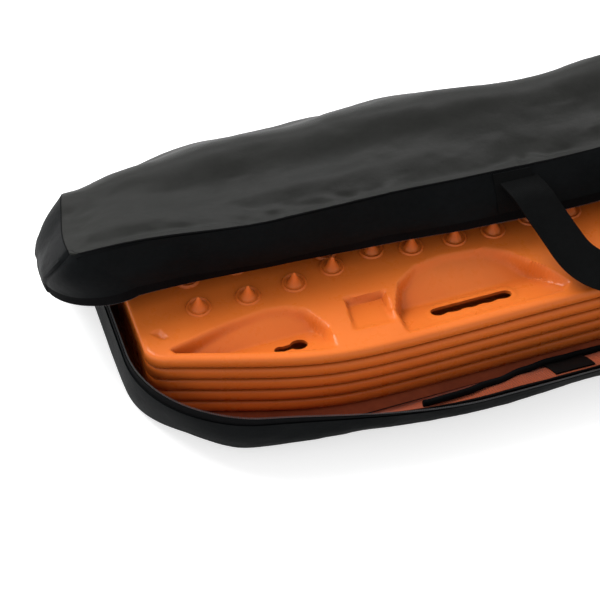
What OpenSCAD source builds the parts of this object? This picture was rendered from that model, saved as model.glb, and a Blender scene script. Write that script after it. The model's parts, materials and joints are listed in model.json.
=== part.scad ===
// Soft carry bag for a nest of moulded recovery boards, shown unzipped with its lid pulled back.
// The origin is the centre of the underside of the base. +X runs along the bag, +Y points to the hinge side, +Z is up.
// The tray stands on the ground. The lid is drawn lying back over the boards, and the front wall sags outward.
// Folding parts are drawn as they sit when the bag is shut, then turned about their folds to the open pose.

/* [View] */
// which piece to draw, or "all"

/* [Tray] */
// half of the tray's outer length
tray_half_l = 600; // [500:5:700]
// half of the tray's outer depth, front to back
tray_half_w = 175; // [150:1:200]
// height of the tray at the zip line
tray_h = 90; // [70:1:110]
// radius of the tray's front corners, seen from above
tray_corner_r = 125; // [20:1:130]
// radius of the tray's rear corners, seen from above
tray_rear_r = 40; // [20:1:60]
// thickness of the outer fabric with its foam
fabric_t = 2.4; // [1:0.1:5]
// thickness of the stiffened base
base_t = 3; // [2:0.5:6]
// thickness of the lining cloth
lining_t = 1.2; // [0.6:0.1:2]
// height of the fixed lower part of the back wall
back_fixed_h = 50; // [40:1:60]
// angle the front wall leans out when the bag is open
front_lean = 44; // [0:1:60]

/* [Lid] */
// half of the lid's outer length, so that its ends hang outside the tray
lid_half_l = 622; // [520:1:720]
// depth of the lid's side band, measured down from the top panel
lid_band_h = 66; // [50:1:90]
// radius of the lid's front corners, seen from above
lid_corner_r = 72; // [20:1:74]
// front-to-back length of the rear half of the top panel
lid_rear_l = 200; // [120:1:240]
// front-to-back length of the hem strip behind the line where the lid can be thrown right back
lid_hem_l = 90; // [70:1:110]
// turn of the upper back wall from shut to open
back_turn = 114.5; // [90:0.5:120]
// backward tilt of the rear half of the lid when open
rear_tilt = 48; // [30:0.5:60]
// backward tilt of the front half of the lid when open
front_tilt = 17; // [5:0.5:30]

/* [Zip] */
// width of the woven zip tape
tape_w = 11; // [8:0.5:16]
// thickness of the zip tape
tape_t = 1.2; // [0.6:0.1:2]
// height and width of the zip coil
coil_d = 3.2; // [2:0.1:5]
// length of a zip slider
slider_l = 22; // [16:1:30]
// place of each slider along the end of the bag when unzipped
slider_park_y = 118; // [60:1:122]

/* [Webbing] */
// width of the handle webbing
webbing_w = 48; // [30:1:60]
// thickness of the webbing
webbing_t = 2.6; // [1.5:0.1:4]
// distance of each handle leg from the middle of the bag
handle_leg_x = 108; // [80:1:160]
// reach of the handle loop from the lid seam
handle_reach = 190; // [160:1:200]
// radius of the bend at the far end of the loop, to the middle of the webbing
handle_bend_r = 75; // [40:1:80]
// angle of the loop below level when it rests on the boards
handle_drop = 28; // [20:1:35]

/* [Boards] */
// half of a board's length
board_half_l = 580; // [480:5:590]
// half of a board's width
board_half_w = 150; // [130:1:155]
// half of the width of a board's tip
tip_half_w = 81; // [60:1:110]
// length over which a board narrows to its tip
taper_l = 200; // [120:5:260]
// rise from one nested board to the next
nest_pitch = 20.5; // [18:0.5:26]
// height of the lip seen at a board's edge
lip_h = 18.3; // [14:0.1:22]
// thickness of a board's deck
deck_t = 6; // [4:0.5:8]
// height of a grip stud above the deck
stud_h = 22; // [12:1:26]
// radius of a grip stud at its foot
stud_r = 9; // [6:0.5:12]

/* [Hidden] */
// total height of the shut bag
bag_h = tray_h + lid_band_h;
// top of the wall fabric, where the zip tape begins
wall_top = tray_h - tape_w - coil_d - 0.4;
// where the tray's front corners begin, and where its rear corners begin
front_x = tray_half_l - tray_corner_r;
corner_x = tray_half_l - tray_rear_r;
// bottom of the nest of boards
stack_z = base_t + lining_t;
// length of the upper back wall
back_fold_l = bag_h - back_fixed_h;
// open pose of the seam between back wall and lid
spine_y = tray_half_w + back_fold_l * sin(back_turn);
spine_z = back_fixed_h + back_fold_l * cos(back_turn);
// open pose of the fold across the lid
fold_y = spine_y - lid_rear_l * cos(rear_tilt);
fold_z = spine_z + lid_rear_l * sin(rear_tilt);
// shut pose of the fold across the lid
fold_shut_y = tray_half_w - lid_rear_l;
// bottom of the lid's side band, and of its zip tape
band_z = tray_h + tape_w + coil_d + 0.4;
tape_z = band_z - tape_w;
// half length of the rear half of the lid, which laps outside the front half
rear_half_l = lid_half_l + 4;
// front edge of the hem strip when the bag is shut
hem_y = tray_half_w - lid_hem_l;
// where the side band is cut away so that it stays off the ground
cut_y = tray_half_w - 58;
// gap left at a fold between two pieces
fold_gap = 0.2;

// upright slab with round corners, whose front and rear corners may differ
module round_slab(half_x, half_y, r, r_rear, z_low, z_high) {
    h = z_high - z_low;
    translate([-half_x + r, -half_y, z_low]) cube([2 * (half_x - r), half_y, h]);
    translate([-half_x + r_rear, 0, z_low]) cube([2 * (half_x - r_rear), half_y, h]);
    translate([-half_x, -half_y + r, z_low]) cube([2 * half_x, 2 * half_y - r - r_rear, h]);
    for (x = [-1, 1]) {
        translate([x * (half_x - r), -half_y + r, z_low]) cylinder(h = h, r = r, $fn = 64);
        translate([x * (half_x - r_rear), half_y - r_rear, z_low]) cylinder(h = h, r = r_rear, $fn = 48);
    }
}

// closed ring of even thickness that follows a rounded rectangle
module round_ring(half_x, half_y, r, r_rear, t, z_low, z_high) {
    difference() {
        round_slab(half_x, half_y, r, r_rear, z_low, z_high);
        round_slab(half_x - t, half_y - t, r - t, r_rear - t, z_low - 1, z_high + 1);
    }
}

// room taken by one end of the tray, with both of its corners; side is -1 on the left, 1 on the right
module end_room(side) {
    translate([side * (front_x + 100 + fold_gap), -110, 60]) cube([200, 220, 200], center = true);
    translate([side * (corner_x + 100 + fold_gap), 110, 60]) cube([200, 220, 200], center = true);
}

// end piece of a tray ring
module tray_end(side, inset, t, z_low, z_high) {
    r = tray_corner_r - inset;
    intersection() {
        round_ring(tray_half_l - inset, tray_half_w - inset, r, tray_rear_r - inset, t, z_low, z_high);
        end_room(side);
    }
}

// end piece of a lid ring, with its front corner only
module lid_end(side, inset, t, z_low, z_high) {
    corner = lid_half_l - lid_corner_r;
    intersection() {
        round_ring(lid_half_l - inset, tray_half_w - inset, lid_corner_r - inset, lid_corner_r - inset, t, z_low, z_high);
        translate([side * (corner + 100), (fold_shut_y - 240) / 2, (z_low + z_high) / 2])
            cube([200 - fold_gap, 240 + fold_shut_y - fold_gap, z_high - z_low + 10], center = true);
    }
}

// turns a piece of the front wall from upright to its lean
module lean_front() {
    translate([0, -tray_half_w, base_t])
        rotate([front_lean, 0, 0])
            translate([0, tray_half_w, -base_t]) children();
}

// turns a piece of the upper back wall from upright to its open pose
module open_back() {
    translate([0, tray_half_w, back_fixed_h])
        rotate([-back_turn, 0, 0])
            translate([0, -tray_half_w, -back_fixed_h]) children();
}

// moves a piece of the rear half of the lid from shut to open
module open_lid_rear() {
    translate([0, spine_y, spine_z])
        rotate([-rear_tilt, 0, 0])
            translate([0, -tray_half_w, -bag_h]) children();
}

// moves a piece of the front half of the lid from shut to open
module open_lid_front() {
    translate([0, fold_y, fold_z])
        rotate([-front_tilt, 0, 0])
            translate([0, -fold_shut_y, -bag_h]) children();
}

module base_panel() {
    color([0.09, 0.09, 0.10]) round_slab(tray_half_l, tray_half_w, tray_corner_r, tray_rear_r, 0, base_t);
}

module base_lining() {
    color([0.52, 0.24, 0.12])
        round_slab(tray_half_l - 8, tray_half_w - 7, tray_corner_r - 7, tray_rear_r - 7, base_t, base_t + lining_t);
}

module end_wall(side) {
    color([0.10, 0.11, 0.12]) tray_end(side, 0, fabric_t, base_t, wall_top);
}

module left_end_wall() {
    end_wall(-1);
}

module right_end_wall() {
    end_wall(1);
}

module end_lining(side) {
    color([0.07, 0.07, 0.08]) tray_end(side, fabric_t, lining_t, base_t, wall_top - 4);
}

module left_end_lining() {
    end_lining(-1);
}

module right_end_lining() {
    end_lining(1);
}

module back_wall_lower() {
    color([0.10, 0.11, 0.12])
        translate([-corner_x, tray_half_w - fabric_t, base_t])
            cube([2 * corner_x, fabric_t, back_fixed_h - base_t - fold_gap]);
}

module end_welt(side) {
    r = tray_corner_r + 2;
    color([0.13, 0.14, 0.15])
        intersection() {
            round_ring(tray_half_l + 2, tray_half_w + 2, r, tray_rear_r + 2, 2, wall_top - 2.8, wall_top);
            end_room(side);
        }
}

module left_end_welt() {
    end_welt(-1);
}

module right_end_welt() {
    end_welt(1);
}

module end_zip_tape(side) {
    color([0.08, 0.08, 0.09]) tray_end(side, (fabric_t - tape_t) / 2, tape_t, wall_top, wall_top + tape_w);
}

module left_end_zip_tape() {
    end_zip_tape(-1);
}

module right_end_zip_tape() {
    end_zip_tape(1);
}

module end_zip_coil(side) {
    low = wall_top + tape_w;
    color([0.45, 0.46, 0.48]) tray_end(side, (fabric_t - coil_d) / 2, coil_d, low, low + coil_d);
}

module left_end_zip_coil() {
    end_zip_coil(-1);
}

module right_end_zip_coil() {
    end_zip_coil(1);
}

// slab with the outline of a board, drawn in by inset on every side
module board_slab(inset, z_low, z_high) {
    l = board_half_l - inset;
    w = board_half_w - inset;
    t = tip_half_w - inset;
    s = board_half_l - taper_l;
    translate([0, 0, z_low])
        linear_extrude(z_high - z_low)
            polygon([
                [-l, -t],
                [-s, -w],
                [s, -w],
                [l, -t],
                [l, t],
                [s, w],
                [-s, w],
                [-l, t]
            ]);
}

// repeats a feature at the four matching places of a board
module four_ways() {
    for (x = [0, 1], y = [0, 1]) {
        mirror([x, 0, 0]) mirror([0, y, 0]) children();
    }
}

// pocket round a hand slot, with sloping ends
module hand_pocket(z_low, z_high, grow) {
    translate([0, 0, z_low])
        linear_extrude(z_high - z_low)
            polygon([
                [-272 - grow, -136 - grow],
                [-100 + grow, -136 - grow],
                [-84 + grow, -96],
                [-110 + grow, -54 + grow],
                [-236 - grow, -54 + grow],
                [-272 - grow, -84]
            ]);
}

// pocket round the key-shaped tie hole near a tip
module key_pocket(z_low, z_high, grow) {
    translate([0, 0, z_low])
        linear_extrude(z_high - z_low)
            polygon([
                [-528 - grow, -76 - grow],
                [-400, -122 - grow],
                [-376 + grow, -122 - grow],
                [-376 + grow, -92],
                [-396 + grow, -62 + grow],
                [-470, -56 + grow]
            ]);
}

module square_pocket(z_low, z_high, grow) {
    translate([-342 - grow, -112 - grow, z_low]) cube([54 + 2 * grow, 46 + 2 * grow, z_high - z_low]);
}

// one moulded board, with its lowest point at z = 0
module board(z) {
    deck_low = lip_h - deck_t;
    color([0.90, 0.40, 0.13])
        translate([0, 0, z])
            difference() {
                union() {
                    difference() {
                        board_slab(0, 0, lip_h);
                        board_slab(5, -1, deck_low);
                    }
                    difference() {
                        board_slab(5, deck_low - 1, nest_pitch);
                        board_slab(8, deck_low - 2, nest_pitch + 1);
                    }
                    four_ways() hand_pocket(4.5, deck_low + 1, 4);
                    four_ways() key_pocket(4.5, deck_low + 1, 4);
                    four_ways() square_pocket(4.5, deck_low + 1, 4);
                    for (x = [150, 235, 320, 410, 500]) {
                        four_ways()
                            translate([-x, -28, lip_h - 1]) cylinder(h = stud_h + 1, r1 = stud_r, r2 = 1.6, $fn = 12);
                    }
                }
                four_ways() hand_pocket(8.5, lip_h + 1, 0);
                four_ways() key_pocket(8.5, lip_h + 1, 0);
                four_ways() square_pocket(8.5, lip_h + 1, 0);
                four_ways() translate([-238, -112, 0]) cube([92, 18, lip_h]);
                four_ways() translate([-238, -103, 0]) cylinder(h = lip_h, r = 9, $fn = 24);
                four_ways() translate([-146, -103, 0]) cylinder(h = lip_h, r = 9, $fn = 24);
                four_ways() translate([-428, -103, 0]) cylinder(h = lip_h, r = 7, $fn = 24);
                four_ways() translate([-408, -102, 0]) cylinder(h = lip_h, r = 11, $fn = 24);
                for (x = [150, 235, 320, 410, 500]) {
                    four_ways()
                        translate([-x, -28, deck_low - 0.5]) cylinder(h = 10, r1 = 5.6, r2 = 2.4, $fn = 12);
                }
            }
}

module board_1() {
    board(stack_z);
}

module board_2() {
    board(stack_z + nest_pitch);
}

module board_3() {
    board(stack_z + 2 * nest_pitch);
}

module board_4() {
    board(stack_z + 3 * nest_pitch);
}

module board_5() {
    board(stack_z + 4 * nest_pitch);
}

// strip along the front wall, drawn with the wall upright
module front_strip(depth, t, z_low, z_high, trim) {
    translate([-front_x + trim, -tray_half_w + depth, z_low])
        cube([2 * (front_x - trim), t, z_high - z_low]);
}

module front_wall() {
    color([0.10, 0.11, 0.12]) lean_front() front_strip(0, fabric_t, base_t + 1, wall_top, 0.2);
}

module front_wall_lining() {
    color([0.55, 0.25, 0.12]) lean_front() front_strip(fabric_t, lining_t, base_t + 5, wall_top - 14, 4);
}

module front_wall_hem() {
    color([0.08, 0.08, 0.09]) lean_front() front_strip(fabric_t, 1.6, wall_top - 14, wall_top - 2, 4);
}

module front_wall_welt() {
    color([0.13, 0.14, 0.15]) lean_front() front_strip(-2, 2, wall_top - 2.8, wall_top, 0.2);
}

module front_wall_zip_tape() {
    color([0.08, 0.08, 0.09])
        lean_front() front_strip((fabric_t - tape_t) / 2, tape_t, wall_top, wall_top + tape_w, 0.2);
}

module front_wall_zip_coil() {
    low = wall_top + tape_w;
    color([0.45, 0.46, 0.48]) lean_front() front_strip((fabric_t - coil_d) / 2, coil_d, low, low + coil_d, 0.2);
}

module inner_strap(side) {
    color([0.06, 0.06, 0.07])
        lean_front()
            translate([side * 101 - 25, -tray_half_w + fabric_t + 1.6, base_t + 6])
                cube([50, 1.8, wall_top - 12 - base_t]);
}

module inner_strap_left() {
    inner_strap(-1);
}

module inner_strap_right() {
    inner_strap(1);
}

module back_wall_upper() {
    color([0.10, 0.11, 0.12])
        open_back() {
            translate([-corner_x + 2, tray_half_w, back_fixed_h + 3])
                cube([2 * corner_x - 4, fabric_t, bag_h - back_fixed_h - 3 - fold_gap]);
            translate([-lid_half_l + 5, tray_half_w, tray_h + 2])
                cube([2 * lid_half_l - 10, fabric_t, lid_band_h - 2 - fold_gap]);
        }
}

module back_wall_lining() {
    color([0.07, 0.07, 0.08])
        open_back()
            translate([-corner_x + 6, tray_half_w - lining_t, back_fixed_h + 6])
                cube([2 * corner_x - 12, lining_t, bag_h - back_fixed_h - 22]);
}

// bound edge that runs along the seam between the back wall and the lid, just outside the fold
module spine_binding() {
    color([0.13, 0.14, 0.15])
        translate([-corner_x - 30, spine_y + 3.5, spine_z - 2.6])
            rotate([0, 90, 0]) cylinder(h = 2 * corner_x + 60, r = 1.6, $fn = 24);
}

module lid_hem_panel() {
    color([0.20, 0.20, 0.20])
        open_lid_rear()
            translate([-rear_half_l, hem_y + fold_gap, bag_h])
                cube([2 * rear_half_l, lid_hem_l - fold_gap, fabric_t]);
}

module hem_band(side) {
    color([0.10, 0.11, 0.12])
        rear_side(side, 0, fabric_t)
            polygon([
                [hem_y + fold_gap, 0],
                [hem_y + fold_gap, tray_h + 0.4 - bag_h],
                [cut_y, tray_h + 0.4 - bag_h],
                [tray_half_w, -4],
                [tray_half_w, 0]
            ]);
}

module lid_hem_band_left() {
    hem_band(-1);
}

module lid_hem_band_right() {
    hem_band(1);
}

module lid_rear_panel() {
    color([0.20, 0.20, 0.20])
        open_lid_rear()
            translate([-rear_half_l, fold_shut_y + fold_gap, bag_h])
                cube([2 * rear_half_l, hem_y - fold_shut_y - 2 * fold_gap, fabric_t]);
}

module lid_rear_lining() {
    color([0.07, 0.07, 0.08])
        open_lid_rear()
            translate([-lid_half_l + 5, fold_shut_y + 2, bag_h - lining_t])
                cube([2 * lid_half_l - 10, hem_y - fold_shut_y - 4, lining_t]);
}

// side piece of the rear half of the lid, from a front-to-back outline
module rear_side(side, out, t) {
    x = side > 0 ? rear_half_l - out - t : -rear_half_l + out;
    open_lid_rear()
        translate([x, 0, bag_h])
            rotate([90, 0, 90]) linear_extrude(t) children();
}

module rear_band(side) {
    color([0.10, 0.11, 0.12])
        rear_side(side, 0, fabric_t)
            polygon([
                [fold_shut_y, 0],
                [fold_shut_y, band_z - bag_h],
                [hem_y - fold_gap, band_z - bag_h],
                [hem_y - fold_gap, 0]
            ]);
}

module lid_rear_band_left() {
    rear_band(-1);
}

module lid_rear_band_right() {
    rear_band(1);
}

module rear_zip_tape(side) {
    color([0.08, 0.08, 0.09])
        rear_side(side, (fabric_t - tape_t) / 2, tape_t)
            polygon([
                [fold_shut_y, band_z - bag_h],
                [fold_shut_y, tape_z - bag_h],
                [hem_y - fold_gap, tape_z - bag_h],
                [hem_y - fold_gap, band_z - bag_h]
            ]);
}

module lid_rear_zip_tape_left() {
    rear_zip_tape(-1);
}

module lid_rear_zip_tape_right() {
    rear_zip_tape(1);
}

// the coil sits wholly inside the lap so that it stays clear of the front half of the lid
module rear_zip_coil(side) {
    color([0.45, 0.46, 0.48])
        rear_side(side, fabric_t - coil_d + 0.3, coil_d - 0.8)
            polygon([
                [fold_shut_y, tape_z - bag_h],
                [fold_shut_y, tape_z - bag_h - coil_d],
                [hem_y - fold_gap, tape_z - bag_h - coil_d],
                [hem_y - fold_gap, tape_z - bag_h]
            ]);
}

module lid_rear_zip_coil_left() {
    rear_zip_coil(-1);
}

module lid_rear_zip_coil_right() {
    rear_zip_coil(1);
}

// slab under the front half of the top panel, with its two round front corners
module front_half_slab(inset, z_low, z_high, rear_gap) {
    r = lid_corner_r - inset;
    h = z_high - z_low;
    x = lid_half_l - inset;
    y = -tray_half_w + inset;
    translate([-x + r, y, z_low]) cube([2 * (x - r), fold_shut_y - rear_gap - y, h]);
    translate([-x, y + r, z_low]) cube([2 * x, fold_shut_y - rear_gap - y - r, h]);
    for (s = [-1, 1]) {
        translate([s * (x - r), y + r, z_low]) cylinder(h = h, r = r, $fn = 48);
    }
}

module lid_front_panel() {
    color([0.20, 0.20, 0.20]) open_lid_front() front_half_slab(0, bag_h, bag_h + fabric_t, fold_gap);
}

module lid_front_lining() {
    color([0.07, 0.07, 0.08]) open_lid_front() front_half_slab(3, bag_h - lining_t, bag_h, 2);
}

// straight strip along the front edge of the lid, drawn shut
module lid_front_strip(depth, t, z_low, z_high) {
    corner = lid_half_l - lid_corner_r;
    translate([-corner + fold_gap, -tray_half_w + depth, z_low])
        cube([2 * (corner - fold_gap), t, z_high - z_low]);
}

module lid_front_band() {
    color([0.10, 0.11, 0.12]) open_lid_front() lid_front_strip(0, fabric_t, band_z, bag_h);
}

module lid_corner_band_left() {
    color([0.10, 0.11, 0.12]) open_lid_front() lid_end(-1, 0, fabric_t, band_z, bag_h);
}

module lid_corner_band_right() {
    color([0.10, 0.11, 0.12]) open_lid_front() lid_end(1, 0, fabric_t, band_z, bag_h);
}

module lid_front_zip_tape() {
    color([0.08, 0.08, 0.09])
        open_lid_front() lid_front_strip((fabric_t - tape_t) / 2, tape_t, tape_z, band_z);
}

module lid_corner_zip_tape_left() {
    color([0.08, 0.08, 0.09]) open_lid_front() lid_end(-1, (fabric_t - tape_t) / 2, tape_t, tape_z, band_z);
}

module lid_corner_zip_tape_right() {
    color([0.08, 0.08, 0.09]) open_lid_front() lid_end(1, (fabric_t - tape_t) / 2, tape_t, tape_z, band_z);
}

module lid_front_zip_coil() {
    color([0.45, 0.46, 0.48])
        open_lid_front() lid_front_strip((fabric_t - coil_d) / 2, coil_d, tape_z - coil_d, tape_z);
}

module lid_corner_zip_coil_left() {
    color([0.45, 0.46, 0.48]) open_lid_front() lid_end(-1, 0.1, coil_d - 0.8, tape_z - coil_d, tape_z);
}

module lid_corner_zip_coil_right() {
    color([0.45, 0.46, 0.48]) open_lid_front() lid_end(1, 0.1, coil_d - 0.8, tape_z - coil_d, tape_z);
}

module handle_anchor(side) {
    color([0.06, 0.06, 0.07])
        open_lid_front()
            translate([side * handle_leg_x - webbing_w / 2, -tray_half_w - 2, band_z + 3])
                cube([webbing_w, 2, lid_band_h - tape_w - coil_d - 6]);
}

module handle_anchor_left() {
    handle_anchor(-1);
}

module handle_anchor_right() {
    handle_anchor(1);
}

// flat loop of webbing that turns about the front seam of the lid; its legs run in toward the bend
module front_handle() {
    centre = handle_reach - webbing_w / 2 - handle_bend_r;
    span = sqrt(handle_leg_x * handle_leg_x + centre * centre);
    steep = atan2(centre, handle_leg_x) + asin(handle_bend_r / span);
    outer = handle_bend_r + webbing_w / 2;
    inner = handle_bend_r - webbing_w / 2;
    lap = webbing_w / 2 / sin(steep);
    seam_y = fold_y - (tray_half_w - lid_rear_l + tray_half_w) * cos(front_tilt) - 2;
    seam_z = fold_z + (tray_half_w - lid_rear_l + tray_half_w) * sin(front_tilt) + 1;
    color([0.06, 0.06, 0.07])
        translate([0, seam_y, seam_z])
            rotate([handle_drop, 0, 0])
                translate([0, 0, -webbing_t / 2]) {
                    intersection() {
                        translate([0, -centre, 0])
                            difference() {
                                cylinder(h = webbing_t, r = outer, $fn = 96);
                                translate([0, 0, -1]) cylinder(h = webbing_t + 2, r = inner, $fn = 96);
                            }
                        translate([0, -centre, 0])
                            linear_extrude(webbing_t)
                                polygon([
                                    [0, 0.2],
                                    [-300 * sin(steep), 0.2 - 300 * cos(steep)],
                                    [-300, -600],
                                    [300, -600],
                                    [300 * sin(steep), 0.2 - 300 * cos(steep)]
                                ]);
                    }
                    for (s = [0, 1]) {
                        mirror([s, 0, 0])
                            linear_extrude(webbing_t)
                                polygon([
                                    [-handle_leg_x - lap, -2.5],
                                    [-handle_leg_x + lap, -2.5],
                                    [-inner * sin(steep), -centre - inner * cos(steep)],
                                    [-outer * sin(steep), -centre - outer * cos(steep)]
                                ]);
                    }
                }
}

// metal slider that straddles the coil on one end of the tray
module zip_slider(side) {
    mid = tray_half_l - fabric_t / 2;
    low = wall_top + tape_w - 2.4;
    color([0.30, 0.31, 0.33])
        difference() {
            union() {
                translate([side * mid - 4.6, slider_park_y - slider_l / 2, low])
                    cube([9.2, slider_l, coil_d + 5]);
                translate([side * (mid + 4.9) - 1.1, slider_park_y - 3, low + 1]) cube([2.2, 6, 4]);
            }
            translate([side * mid - 1.2, slider_park_y - slider_l, low - 1]) cube([2.4, 2 * slider_l, 5]);
            translate([side * mid - 2.3, slider_park_y - slider_l, low + 1.6])
                cube([4.6, 2 * slider_l, coil_d + 1.6]);
        }
}

module zip_slider_left() {
    zip_slider(-1);
}

module zip_slider_right() {
    zip_slider(1);
}

// short cord pull that hangs from the slider's lug
module zip_pull(side) {
    mid = tray_half_l - fabric_t / 2 + 6.9;
    low = wall_top + tape_w - 2.4;
    color([0.08, 0.08, 0.09])
        translate([side * mid - 0.9, slider_park_y - 4, low - 24]) cube([1.8, 8, 29]);
}

module zip_pull_left() {
    zip_pull(-1);
}

module zip_pull_right() {
    zip_pull(1);
}

base_panel();
base_lining();
left_end_wall();
right_end_wall();
left_end_lining();
right_end_lining();
back_wall_lower();
left_end_welt();
right_end_welt();
left_end_zip_tape();
right_end_zip_tape();
left_end_zip_coil();
right_end_zip_coil();
board_1();
board_2();
board_3();
board_4();
board_5();
front_wall();
front_wall_lining();
front_wall_hem();
front_wall_welt();
front_wall_zip_tape();
front_wall_zip_coil();
inner_strap_left();
inner_strap_right();
back_wall_upper();
back_wall_lining();
spine_binding();
lid_hem_panel();
lid_hem_band_left();
lid_hem_band_right();
lid_rear_panel();
lid_rear_lining();
lid_rear_band_left();
lid_rear_band_right();
lid_rear_zip_tape_left();
lid_rear_zip_tape_right();
lid_rear_zip_coil_left();
lid_rear_zip_coil_right();
lid_front_panel();
lid_front_lining();
lid_front_band();
lid_corner_band_left();
lid_corner_band_right();
lid_front_zip_tape();
lid_corner_zip_tape_left();
lid_corner_zip_tape_right();
lid_front_zip_coil();
lid_corner_zip_coil_left();
lid_corner_zip_coil_right();
handle_anchor_left();
handle_anchor_right();
front_handle();
zip_slider_left();
zip_slider_right();
zip_pull_left();
zip_pull_right();
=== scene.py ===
import json
import math
import bpy
import bmesh
import numpy as np
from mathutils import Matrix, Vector


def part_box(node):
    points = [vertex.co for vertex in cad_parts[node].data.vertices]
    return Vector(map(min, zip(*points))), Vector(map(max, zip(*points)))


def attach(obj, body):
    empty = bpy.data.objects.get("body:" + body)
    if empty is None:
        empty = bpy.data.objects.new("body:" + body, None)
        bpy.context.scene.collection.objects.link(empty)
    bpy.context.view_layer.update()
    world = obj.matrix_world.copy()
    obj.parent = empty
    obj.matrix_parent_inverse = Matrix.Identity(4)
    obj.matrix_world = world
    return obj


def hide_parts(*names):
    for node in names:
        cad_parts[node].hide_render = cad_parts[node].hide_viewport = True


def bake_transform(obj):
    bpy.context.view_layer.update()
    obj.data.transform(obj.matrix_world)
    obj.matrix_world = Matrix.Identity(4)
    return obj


# Looks of a soft carry bag for a nest of moulded boards. Lengths inside the shape functions are in
# millimetres, in the frame of the CAD part; meshes are made in metres.
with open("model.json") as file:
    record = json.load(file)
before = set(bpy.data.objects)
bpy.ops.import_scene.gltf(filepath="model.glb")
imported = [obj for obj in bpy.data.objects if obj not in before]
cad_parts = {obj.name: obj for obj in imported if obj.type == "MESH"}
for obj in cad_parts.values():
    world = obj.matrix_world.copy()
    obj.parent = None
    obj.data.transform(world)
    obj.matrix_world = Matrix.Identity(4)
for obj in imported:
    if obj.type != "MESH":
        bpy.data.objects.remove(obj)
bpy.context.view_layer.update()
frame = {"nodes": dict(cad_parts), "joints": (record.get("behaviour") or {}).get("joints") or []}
MM = 0.001
joints = {j["name"]: j for j in frame["joints"]}


def hinge_line(name):
    """(y, z) of a hinge that runs along X, in mm."""
    p = joints[name]["pos_m"]
    return np.array([p[1], p[2]]) / MM


def span(name):
    lo, hi = joints[name]["range_deg"]
    return math.radians(max(abs(lo), abs(hi)))


def low(node):
    return np.array(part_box(node)[0]) / MM


def high(node):
    return np.array(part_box(node)[1]) / MM


# sizes read from the frame
HALF_L, HALF_W = high("base_panel")[0], high("base_panel")[1]
BASE_Z = high("base_panel")[2]
WALL_TOP = high("left_end_wall")[2]
TAPE_TOP = high("left_end_zip_tape")[2]
COIL_TOP = high("left_end_zip_coil")[2]
FRONT_X = high("front_wall")[0] + 0.2
FRONT_R = HALF_L - FRONT_X
CORNER_X = high("back_wall_lower")[0]
REAR_R = HALF_L - CORNER_X
LEAN = span("front_wall_fold")
BACK_TURN = span("back_fold")
CREASE_TURN = span("lid_crease")
BACK_HINGE = hinge_line("back_fold")
SPINE = hinge_line("lid_level")
CREASE = hinge_line("lid_crease")
FRONT_HINGE = hinge_line("front_wall_fold")
HANDLE_HINGE = hinge_line("handle_swing")
TILT = BACK_TURN - span("lid_level")
LID_HALF_L = high("lid_front_panel")[0]
LID_REAR = float(np.linalg.norm(CREASE - SPINE))
BAG_H = BACK_HINGE[1] + float(np.linalg.norm(SPINE - BACK_HINGE))
LID_FRONT = 2 * HALF_W
HEM = 90.0
FABRIC, THIN = 2.4, 1.2
TAPE_W = TAPE_TOP - WALL_TOP
COIL = COIL_TOP - TAPE_TOP
BAND_DEPTH = BAG_H - (COIL_TOP + 0.4 + COIL + TAPE_W)
FULL_DEPTH = BAND_DEPTH + TAPE_W + COIL

# ---------------------------------------------------------------- numbers and noise


def smooth(t):
    t = np.clip(t, 0.0, 1.0)
    return t * t * (3 - 2 * t)


def bell(t):
    return np.exp(-np.square(t))


def shoulder(t):
    """Rise of a quarter circle from 0 to 1."""
    t = np.clip(t, 0, 1)
    return 1 - np.sqrt(1 - t * t)


def bulge(share, power=1.0):
    """Swelling of cloth held at both ends of share 0 to 1."""
    return np.sin(math.pi * share) ** power


def unit(v):
    return v / np.maximum(np.linalg.norm(v, axis=-1, keepdims=True), 1e-9)


def lengths(path, axis=0):
    """Running length along a line of points."""
    steps = np.linalg.norm(np.diff(path, axis=axis), axis=-1)
    return np.concatenate([np.zeros_like(steps.take([0], axis)), np.cumsum(steps, axis)], axis)


def noise(x, y, seed, octaves=3):
    """Smooth seeded noise about zero, with features one unit wide."""
    lattice = np.random.RandomState(seed).uniform(-1, 1, (97, 97))
    total = np.zeros(np.broadcast(x, y).shape)
    gain = 1.0
    for k in range(octaves):
        fx, fy = np.asarray(x) * 2**k + 11.3 * k, np.asarray(y) * 2**k + 7.7 * k
        ix, iy = np.floor(fx).astype(int), np.floor(fy).astype(int)
        tx, ty = smooth(fx - ix), smooth(fy - iy)
        a, b = lattice[ix % 97, iy % 97], lattice[(ix + 1) % 97, iy % 97]
        c, d = lattice[ix % 97, (iy + 1) % 97], lattice[(ix + 1) % 97, (iy + 1) % 97]
        total = total + gain * ((a * (1 - tx) + b * tx) * (1 - ty) + (c * (1 - tx) + d * tx) * ty)
        gain *= 0.5
    return total


def turn_x(p, pivot, angle):
    """Turns points about a line along X."""
    y, z = p[..., 1] - pivot[0], p[..., 2] - pivot[1]
    c, s = np.cos(angle), np.sin(angle)
    out = np.array(p, float)
    out[..., 1] = pivot[0] + y * c - z * s
    out[..., 2] = pivot[1] + y * s + z * c
    return out


def points(x, y, z):
    return np.stack(np.broadcast_arrays(x, y, z), axis=-1).astype(float)


def folded(p, pivot, angle, a, b):
    """Points turned about a line along X by a share of the angle that grows from line a to line b, as blending does."""
    d = b - a
    w = np.zeros(p.shape[:-1])
    for _ in range(40):
        q = turn_x(p, pivot, angle * w)
        t = ((q[..., 1] - a[0]) * d[0] + (q[..., 2] - a[1]) * d[1]) / (d @ d)
        w = 0.5 * w + 0.5 * smooth(t)
    return q


def arc(centre, r, start, end, n):
    """Points on an arc between two angles in degrees, and their outward normals."""
    a = np.radians(np.linspace(start, end, n))
    normal = np.stack([np.cos(a), np.sin(a)], 1)
    return np.array(centre) + r * normal, normal


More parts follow.
